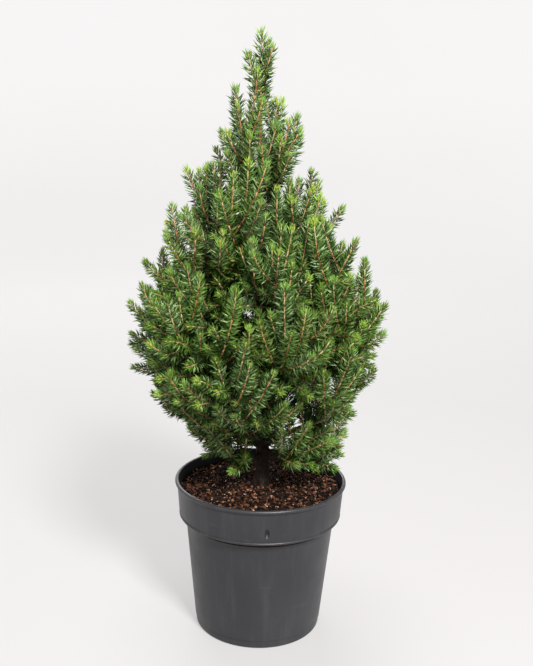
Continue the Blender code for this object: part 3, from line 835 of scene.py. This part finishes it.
def pot_plastic():
    """Charcoal plastic, mottled, streaked up and down, scuffed level round, and dented at the band, with
    painted shade in the dent.
    """
    n = Nodes("pot_plastic", 0.45, 0.42)
    clouds = n.noise(9.0, 5.0, 0.6)
    dust = n.ramp(clouds, (0.0, (0.062, 0.061, 0.063)), (1.0, (0.080, 0.079, 0.080)))
    colour = n.ramp(clouds, (0.30, (0.014, 0.014, 0.0175)), (0.70, (0.026, 0.026, 0.029)))
    streaks = n.ramp(n.noise(1.0, 6.0, 0.65, n.stretched((95.0, 95.0, 5.0))), (0.50, BLACK), (0.72, WHITE))
    colour = n.mixed(n.spread(streaks, 0.0, 0.20), colour, dust)
    scuffs = n.ramp(n.noise(1.0, 5.0, 0.6, n.stretched((16.0, 16.0, 340.0))), (0.60, BLACK), (0.70, WHITE))
    patches = n.ramp(n.noise(11.0, 2.0), (0.52, BLACK), (0.64, WHITE))
    colour = n.mixed(n.spread(n.product(scuffs, patches), 0.0, 0.55), colour, dust)
    specks = n.ramp(n.noise(300.0, 3.0, 0.7), (0.66, BLACK), (0.74, WHITE))
    colour = n.mixed(n.spread(specks, 0.0, 0.35), colour, dust)
    dent = n.distance(n.stretched([1.0 / size for size in DENT_SIZE], DENT))
    # painted shade: the dent's middle darkened towards near-black
    colour = n.mixed(n.spread(dent, 0.75, 0.0), colour, (0.008, 0.008, 0.009, 1.0))
    grain = n.bumped(n.noise(900.0, 3.0), 0.00006, 0.7)
    waves = n.bumped(n.noise(1.0, 3.0, 0.5, n.stretched((26.0, 26.0, 9.0))), 0.0009, 0.7, grain)
    dented = n.bumped(n.spread(dent, 0.0, 1.0), 0.0045, 1.0, waves)
    rough = n.spread(n.noise(26.0, 6.0, 0.65), 0.26, 0.60)
    return n.finish(colour, rough, dented)


def painted_shade_plastic():
    """The pot's inside: the plastic darkened with painted shade."""
    n = Nodes("pot_inside", 0.55, 0.22)
    # painted shade: near-black colours for the inside wall and floor
    colour = n.ramp(n.noise(40.0, 5.0), (0.35, (0.0030, 0.0040, 0.0045)), (0.75, (0.0085, 0.0100, 0.0105)))
    return n.finish(colour, n.spread(n.noise(60.0), 0.45, 0.7), n.bumped(n.noise(300.0), 0.0001, 0.6))


def peat():
    """Dark crumbly potting soil."""
    n = Nodes("peat", 0.95, 0.1)
    colour = n.ramp(
        n.noise(260.0, 6.0, 0.7),
        (0.30, (0.0025, 0.0018, 0.0014)), (0.52, (0.009, 0.005, 0.0035)), (0.74, (0.034, 0.016, 0.009)))
    crumbs = n.node("TexVoronoi", "Distance", {"Scale": 320.0, "Vector": n.place})
    return n.finish(colour, normal=n.bumped(crumbs, 0.0012, 0.9))


def bark():
    """Scaly bark: dark brown and aged low down, darkened there with painted shade, orange-brown and young
    higher up.
    """
    n = Nodes("bark", 0.85, 0.2)
    scales = n.noise(1.0, 6.0, 0.65, n.stretched((520.0, 520.0, 210.0)))
    # old bark low down: dark in its own right, and darker still with painted shade
    old_and_shaded = n.ramp(
        scales, (0.30, (0.003, 0.002, 0.0015)), (0.50, (0.015, 0.009, 0.006)),
        (0.66, (0.034, 0.020, 0.012)), (0.82, (0.070, 0.046, 0.030)))
    young = n.ramp(
        scales, (0.30, (0.050, 0.021, 0.011)), (0.55, (0.160, 0.074, 0.032)), (0.80, (0.320, 0.190, 0.095)))
    height = n.node("SeparateXYZ", "Z", {"Vector": n.place})
    colour = n.mixed(n.spread(height, 0.0, 1.0, *YOUNG_BARK), old_and_shaded, young)
    return n.finish(colour, normal=n.bumped(scales, 0.0012, 0.9))


# ------------------------ the crown

# kinds of spray outside: name, colour, how often they come
FRESH = (
    ("needles_fresh_green", (0.083, 0.168, 0.016), 3),
    ("needles_grass_green", (0.063, 0.134, 0.014), 4),
    ("needles_mid_green", (0.045, 0.100, 0.011), 5),
    ("needles_blue_green", (0.048, 0.104, 0.023), 4),
    ("needles_grey_green", (0.077, 0.130, 0.039), 3),
    ("needles_olive_green", (0.072, 0.118, 0.012), 3),
)
# kinds of tuft at tips outside: name, colour, how often they come below the top and on it
TUFTS = (
    ("needles_tip_yellow", (0.250, 0.380, 0.045), 0, 2),
    ("needles_tip_lime", (0.200, 0.340, 0.045), 1, 5),
    ("needles_tip_leaf", (0.130, 0.255, 0.042), 6, 5),
    (*FRESH[0], 0),
)
# needle kinds that paint light: a lighter painted highlight, a darker painted shade, a darkest painted deep
# shade
PAINTED_HIGHLIGHT = "needles_sheen_green"
PAINTED_SHADE = "needles_shade_green"
PAINTED_DEEP_SHADE = "needles_deep_green"
# on shoots inside the crown, plain mid green stands where the painted highlight goes, and grass green at the
# tip
INNER_PAINTED_HIGHLIGHT = "needles_mid_green"
INNER_TUFT = "needles_grass_green"
TWIGS = {
    "twigs_straw": (0.400, 0.300, 0.125),
    "twigs_tan": (0.400, 0.230, 0.098),
    "twigs_orange": (0.280, 0.122, 0.046),
    "twigs_rust": (0.150, 0.058, 0.024),
    "twigs_brown": (0.062, 0.028, 0.015),
}
COLOURS = {kind[0]: kind[1] for kind in FRESH + TUFTS} | TWIGS | {
    # colours of the painted highlight, the painted shade and the painted deep shade
    PAINTED_HIGHLIGHT: (0.205, 0.310, 0.110),
    PAINTED_SHADE: (0.017, 0.041, 0.005),
    PAINTED_DEEP_SHADE: (0.013, 0.030, 0.005),
    "buds_green": (0.300, 0.340, 0.075),
    "buds_tan": (0.340, 0.190, 0.085),
}
# specular levels of wood, needles, and the kinds of needle that differ; roughness of wood and needles
WOOD_GLOSS = 0.25
NEEDLE_GLOSS = 0.36
# the painted highlight is glossier, the painted shade and painted deep shade less glossy
OTHER_GLOSS = {PAINTED_HIGHLIGHT: 0.50, PAINTED_SHADE: 0.10, PAINTED_DEEP_SHADE: 0.10}
WOOD_ROUGHNESS = 0.62
NEEDLE_ROUGHNESS = 0.46
# how often a fleck of twig is of each colour, by its distance from the shoot's tip
FLECKS = (
    (0.016, (6, 4, 1, 0, 0)),
    (0.040, (3, 5, 3, 1, 0)),
    (0.065, (1, 3, 5, 3, 1)),
    (0.100, (0, 1, 3, 5, 4)),
    (math.inf, (0, 0, 1, 3, 6)),
)


def dealt(kinds, column, chance):
    """One kind's name, drawn by how often the column says that it comes."""
    return chance.choices([kind[0] for kind in kinds], [kind[column] for kind in kinds])[0]


def stem_radius(branch):
    """How thick a branch is where its foliage starts."""
    return max(LEAST_STEM_RADIUS, STEM_SHARE * branch["radius"])


def all_shoots():
    """The branches, and every shoot as (curve, root radius, where needles start, the share of inmost needles
    in painted deep shade).
    """
    tree, limbs = grow_tree()
    shoots = []
    for branch in tree:
        start = BOUGH_START if branch["has_bough"] else TRUNK_START
        shoots.append((stem_curve(branch), stem_radius(branch), start, STEM_DEEP))
        shoots += [(curve, *SIDE_SHOOT) for curve in branch["shoots"]]
    return tree, shoots + [(curve, *SIDE_SHOOT) for curve in grow_finer(tree, limbs)]


def make_foliage(shoots):
    """Needles, twigs and buds of every shoot, each kind and colour in its own heap."""
    chance = random.Random(FOLIAGE_SEED)
    dice = np.random.default_rng(FOLIAGE_SEED)
    heaps = defaultdict(Heap)
    for curve, radius, first, deep in shoots:
        length = curve_length(curve)
        height = curve[2][2]
        on_top = height > CROWN_NARROWS
        outer = on_top or share_of_reach(curve[2]) > OUTSIDE
        openness, crowding, larger = (float(np.interp(height, TOPWARD, change)) for change in TOP_CHANGES)
        size = larger * NEEDLE_LENGTH * chance.uniform(*SIZE_RANGE)
        openness *= chance.uniform(*OPENNESS_RANGE)
        density = crowding * (OUTER_NEEDLES if outer else INNER_NEEDLES)
        # shoots inside the crown take the painted shade as their body; outside ones get a plain green, the
        # painted highlight and a tuft
        body, painted_highlight_kind, young = PAINTED_SHADE, INNER_PAINTED_HIGHLIGHT, INNER_TUFT
        if outer:
            body, painted_highlight_kind, young = dealt(FRESH, 2, chance), PAINTED_HIGHLIGHT, dealt(TUFTS, 3 if on_top else 2, chance)
        tuft = 1.0 - chance.uniform(*TIP_TUFT) / length
        inner = first + (tuft - first) * deep
        spans = (
            (PAINTED_DEEP_SHADE, first, inner), (body, inner, tuft), (painted_highlight_kind, inner, tuft), (PAINTED_SHADE, inner, tuft),
            (young, tuft, 1.0))
        for (kind, low, high), share in zip(spans, SHARES):
            count = int(round(density * share * (high - low) * length))
            if count > 0:
                heaps[kind].add(*needles(curve, length, low, high, count, size, openness, dice))
        add_twig(heaps, curve, radius, length, chance, dice)
        add_bud(heaps, curve, outer, chance)
    return heaps


def add_twig(heaps, curve, radius, length, chance, dice):
    """One shoot's twig, knobbly, its bark flecked with colours that darken from tip to root."""
    rings = max(LEAST_RINGS, int(round(length / TWIG_STEP)) + 1)
    t = np.linspace(0.0, 1.0, rings)[:, None]
    points = curve_point(curve, t)
    radii = radius + (SHOOT_TIP_RADIUS - radius) * np.sqrt(t)
    radii = radii * dice.uniform(*KNOBS, (rings, TWIG_SIDES))
    low = 0
    while low < rings - 1:
        high = min(rings - 1, low + chance.choice(FLECK_STEPS))
        from_tip = (1.0 - 0.5 * (t[low, 0] + t[high, 0])) * length
        weights = next(weights for limit, weights in FLECKS if from_tip <= limit)
        kind = chance.choices(list(TWIGS), weights)[0]
        part = slice(low, high + 1)
        heaps[kind].add(*tube(points[part], radii[part], TWIG_SIDES, reference_for(curve)))
        low = high


def add_bud(heaps, curve, outer, chance):
    """The small pointed bud on a shoot's tip."""
    along = curve_direction(curve, 1.0)
    kind = "buds_green" if outer and chance.random() < GREEN_BUDS else "buds_tan"
    length = BUD_LENGTH * chance.uniform(*BUD_RANGE)
    steps, shares = np.array(BUD_SHAPE).T
    points = curve_point(curve, 1.0) - BUD_SEAT * along + np.outer(steps * length, along)
    heaps[kind].add(*tube(points, BUD_RADIUS * shares, BUD_SIDES, reference_for(points)))


def finish_foliage(heaps):
    """Joined pieces of the heaps, standing for the masses."""
    for name in sorted(heaps):
        woody = name in TWIGS or name == "buds_tan"
        gloss = WOOD_GLOSS if woody else OTHER_GLOSS.get(name, NEEDLE_GLOSS)
        material = plain(name, COLOURS[name], WOOD_ROUGHNESS if woody else NEEDLE_ROUGHNESS, gloss)
        for piece in heaps[name].pieces(name, material, smooth=woody):
            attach(piece, "root")
            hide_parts(*MASSES)


# ------------------------ trunk and boughs

def rough_limb(points, radii, sides, relief, reference):
    """A limb's tube with its bark's relief pushed into it."""
    vertices, faces = tube(points, radii, sides, reference)
    away = vertices - np.repeat(points, sides, axis=0)
    for index, (vertex, direction) in enumerate(zip(vertices, away)):
        place = Vector(vertex)
        plates = noise.fractal(Vector([a * b for a, b in zip(place, PLATES)]), *ROUGHNESS)
        knobs = max(0.0, noise.noise(place * KNOB_SCALE)) ** 2
        vertices[index] = vertex + relief * direction * (plates + KNOB_HEIGHT * knobs)
    return vertices, faces


def trunk_tube():
    """The trunk, up into the leader, with the lobes of its flare."""
    heights = np.concatenate([np.linspace(*rings) for rings in TRUNK_RINGS])
    lobed = np.cos(FLARE_LOBES * math.tau * np.arange(TRUNK_SIDES) / TRUNK_SIDES)
    radii = []
    for height in heights:
        lobes = LOBES * math.exp(-max(0.0, height - TRUNK_FOOT) / LOBE_HEIGHT)
        radii.append(trunk_radius(height) * (1 - lobes + lobes * lobed))
    points = np.array([trunk_centre(height) for height in heights])
    return rough_limb(points, np.array(radii), TRUNK_SIDES, TRUNK_RELIEF, BACKWARD)


def bough_tube(branch):
    """A bare bough, from a collar inside the trunk to a little way into its foliage."""
    curve = branch["curve"]
    start = curve[0] - BOUGH_SEAT * trunk_radius(curve[0][2]) * outward(branch["azimuth"])
    t = np.linspace(0.0, BARE_SHARE + BOUGH_OVERLAP, BOUGH_RINGS)[:, None]
    points = np.concatenate([[start], curve_point(curve, t)])
    radii = (COLLAR * branch["radius"], branch["radius"], stem_radius(branch))
    radii = np.interp(np.arange(BOUGH_RINGS + 1), (0, COLLAR_RINGS, BOUGH_RINGS), radii)
    return rough_limb(points, radii, BOUGH_SIDES, BOUGH_RELIEF, reference_for(curve))


def make_limbs(tree):
    """The trunk and the bare boughs, as one piece with bark relief."""
    heap = Heap()
    heap.add(*trunk_tube())
    for branch in tree:
        if branch["has_bough"]:
            heap.add(*bough_tube(branch))
    for piece in heap.pieces("limbs_bark", bark(), smooth=True):
        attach(piece, "root")
        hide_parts(*LIMBS)


# ------------------------ soil

def soil_height(x, y):
    """How high the soil's surface is: mounded to the trunk and lumpy."""
    share = min(1.0, math.hypot(x, y) / SOIL_RADIUS)
    mound = SOIL_AT_WALL + (SOIL_AT_TRUNK - SOIL_AT_WALL) * (1 - share ** 2)
    return mound + LUMPS * noise.fractal(Vector((x * LUMP_SCALE, y * LUMP_SCALE, LUMP_LAYER)), *ROUGHNESS)


def make_soil():
    """The soil's bed: a lumpy top and a plain closed body down to the pot's floor."""
    top = [(SOIL_RADIUS * i / SOIL_RINGS, soil_height) for i in range(SOIL_RINGS + 1)]
    return turned("soil_bed", [*top, *SOIL_SIDE], SOIL_SIDES, peat(), capped=True)


CHIP_SHAPE = np.array(list(itertools.product((-1.0, 1.0), repeat=3)))
CHIP_FACES = np.array((
    (0, 1, 3), (0, 3, 2), (4, 6, 7), (4, 7, 5), (0, 4, 5), (0, 5, 1),
    (2, 3, 7), (2, 7, 6), (0, 2, 6), (0, 6, 4), (1, 5, 7), (1, 7, 3)))


def make_chips():
    """Bark chips and crumbs that cover the soil, each colour a piece."""
    chance = random.Random(CHIP_SEED)
    dice = np.random.default_rng(CHIP_SEED)
    for name, colour, count, least, most in CHIPS:
        heap = Heap()
        for _ in range(count):
            radius = CHIPS_TO * math.sqrt(chance.random())
            if radius < CHIPS_FROM:
                continue
            azimuth = chance.uniform(0.0, math.tau)
            x, y = radius * math.cos(azimuth), radius * math.sin(azimuth)
            half = chance.uniform(least, most) * chance.uniform(*CHIP_RANGE)
            size = half * np.array((1.0, chance.uniform(*CHIP_WIDTHS), chance.uniform(*CHIP_HEIGHTS)))
            corners = CHIP_SHAPE * dice.uniform(*CHIP_CORNERS, (8, 3)) * size
            turns = chance.gauss(0.0, CHIP_TILT), chance.gauss(0.0, CHIP_TILT), chance.uniform(0.0, math.tau)
            place = np.array((x, y, soil_height(x, y) + chance.uniform(*CHIP_LIFT)))
            heap.add(corners @ np.array(Euler(turns, "YXZ").to_matrix()).T + place, CHIP_FACES)
        for piece in heap.pieces(name, plain(name, colour, 0.9, 0.12)):
            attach(piece, "root")


# ------------------------ pot

def pot_profile():
    """The pot's outline: up outside from the underside's middle over the lip, and down inside."""
    band_foot = POT_HEIGHT - BAND_HEIGHT
    body_top = band_foot - BAND_STEP
    rim = POT_HEIGHT - 0.0026
    body = (FOOT_RADIUS + FOOT_STEP, FOOT_STEP_HEIGHT + FOOT_STEP), (BODY_TOP_RADIUS, body_top)
    band = (BAND_FOOT_RADIUS, band_foot + 0.0020), (LIP_RADIUS - 0.0026, rim - 0.0029)
    outside = [
        (0.0, UNDERSIDE), (MIDDLE_RADIUS, UNDERSIDE), (FOOT_RADIUS - 0.0100, UNDERSIDE),
        (FOOT_RADIUS - 0.0085, 0.0), *arc((FOOT_RADIUS - 0.0030, FOOT_EDGE), FOOT_EDGE, -90, -8, 7),
        (FOOT_RADIUS, FOOT_STEP_HEIGHT), body[0],
        *straight(*body, np.linspace(0.06, 1.0, 14)),
        (BODY_TOP_RADIUS + 0.0010, band_foot - 0.0014), (BODY_TOP_RADIUS + 0.0030, band_foot - 0.0004),
        *arc((BAND_FOOT_RADIUS - 0.0014, band_foot + BEAD), BEAD, -80, 60, 10),
        *straight(*band, np.linspace(0.15, 1.0, 8)),
        *arc((LIP_RADIUS - LIP, rim), LIP, -55, 125, 12),
    ]
    inside = [
        (LIP_RADIUS - 0.0044, POT_HEIGHT - 0.0030),
        (BAND_FOOT_RADIUS - WALL + 0.0010, band_foot + 0.012),
        (BAND_FOOT_RADIUS - WALL, band_foot + WALL + 0.001),
        (BODY_TOP_RADIUS - WALL, body_top),
        (FOOT_RADIUS - WALL + 0.0004, FLOOR + 0.003),
        (FOOT_RADIUS - WALL - 0.004, FLOOR),
        (MIDDLE_RADIUS, FLOOR), (0.0, FLOOR),
    ]
    return outside, inside


def make_pot():
    """The pot: a turned shell with a rolled lip, a band, a stepped foot and drain holes."""
    outside, inside = pot_profile()
    materials = pot_plastic(), painted_shade_plastic()
    pot = turned("pot_shell", outside + inside, POT_SIDES, *materials, outside=len(outside))
    drill(pot)
    pot.data.shade_smooth()
    pot.data.set_sharp_from_angle(angle=SHARP)
    return pot


def drill(pot):
    """Cuts the drain holes through the pot's floor."""
    bm = bmesh.new()
    for k in range(DRAIN_HOLES):
        centre = outward(math.tau * (k + DRAIN_TURN) / DRAIN_HOLES) * DRAIN_RING_RADIUS
        bmesh.ops.create_cone(
            bm, cap_ends=True, segments=DRAIN_SIDES, radius1=DRAIN_RADIUS, radius2=DRAIN_RADIUS,
            depth=4 * FLOOR, matrix=Matrix.Translation((centre[0], centre[1], 0.5 * FLOOR)))
    mesh = bpy.data.meshes.new("drills")
    bm.to_mesh(mesh)
    bm.free()
    drills = placed("drills", mesh)
    cut = pot.modifiers.new("drains", "BOOLEAN")
    cut.operation = "DIFFERENCE"
    cut.solver = "EXACT"
    cut.object = drills
    with bpy.context.temp_override(object=pot, active_object=pot):
        bpy.ops.object.modifier_apply(modifier=cut.name)
    bpy.data.objects.remove(drills)


# ------------------------ studio

def studio_paper():
    """Pale paper, brighter far off, where the studio's light falls on it alone."""
    n = Nodes("studio_paper", 0.9)
    n.shader.inputs["Emission Color"].default_value = PAPER_WHITE
    colour = n.ramp(n.noise(0.6), (0.3, (0.165, 0.158, 0.155)), (0.7, (0.175, 0.172, 0.172)))
    return n.finish(colour, glow=n.spread(n.distance(), *PAPER_GLOW, *PAPER_REACH))


def make_floor():
    """A pale floor that curves up into a wall all round."""
    edge = PAPER_RADII[-1]
    profile = [(radius, 0.0) for radius in PAPER_RADII]
    profile += arc((edge, PAPER_CURVE), PAPER_CURVE, -80, 0, 14)
    profile += [(edge + PAPER_CURVE, PAPER_TOP)]
    floor = turned("studio_floor", profile, PAPER_SIDES, studio_paper())


def make_lights():
    """Square soft lights that face the plant, and an even sky."""
    for name, place, size, power, colour in LIGHTS:
        data = bpy.data.lights.new(name, "AREA")
        data.size, data.energy, data.color = size, power, colour
        light = placed(name, data)
        light.location = place
        light.rotation_euler = (LIT_POINT - Vector(place)).to_track_quat("-Z", "Y").to_euler()
    world = bpy.data.worlds.new("studio")
    world.use_nodes = True
    sky = world.node_tree.nodes["Background"]
    sky.inputs["Color"].default_value = SKY
    sky.inputs["Strength"].default_value = SKY_STRENGTH
    bpy.context.scene.world = world
    bpy.context.scene.view_settings.view_transform = "Standard"


def make_camera():
    """The camera, where the photograph was taken from."""
    data = bpy.data.cameras.new("camera")
    data.lens = LENS
    camera = placed("camera", data)
    tilt = Matrix.Rotation(math.radians(90) - CAMERA_DOWN, 4, "X") @ Matrix.Rotation(CAMERA_ROLL, 4, "Z")
    camera.matrix_world = Matrix.Translation(CAMERA_PLACE) @ tilt
    bpy.context.scene.camera = camera


# ------------------------ the whole

tree, shoots = all_shoots()
finish_foliage(make_foliage(shoots))
make_limbs(tree)
bed = make_soil()
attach(bed, "root")
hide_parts("soil")
make_chips()
pot = make_pot()
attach(pot, "root")
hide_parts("pot")
make_floor()
make_lights()
make_camera()
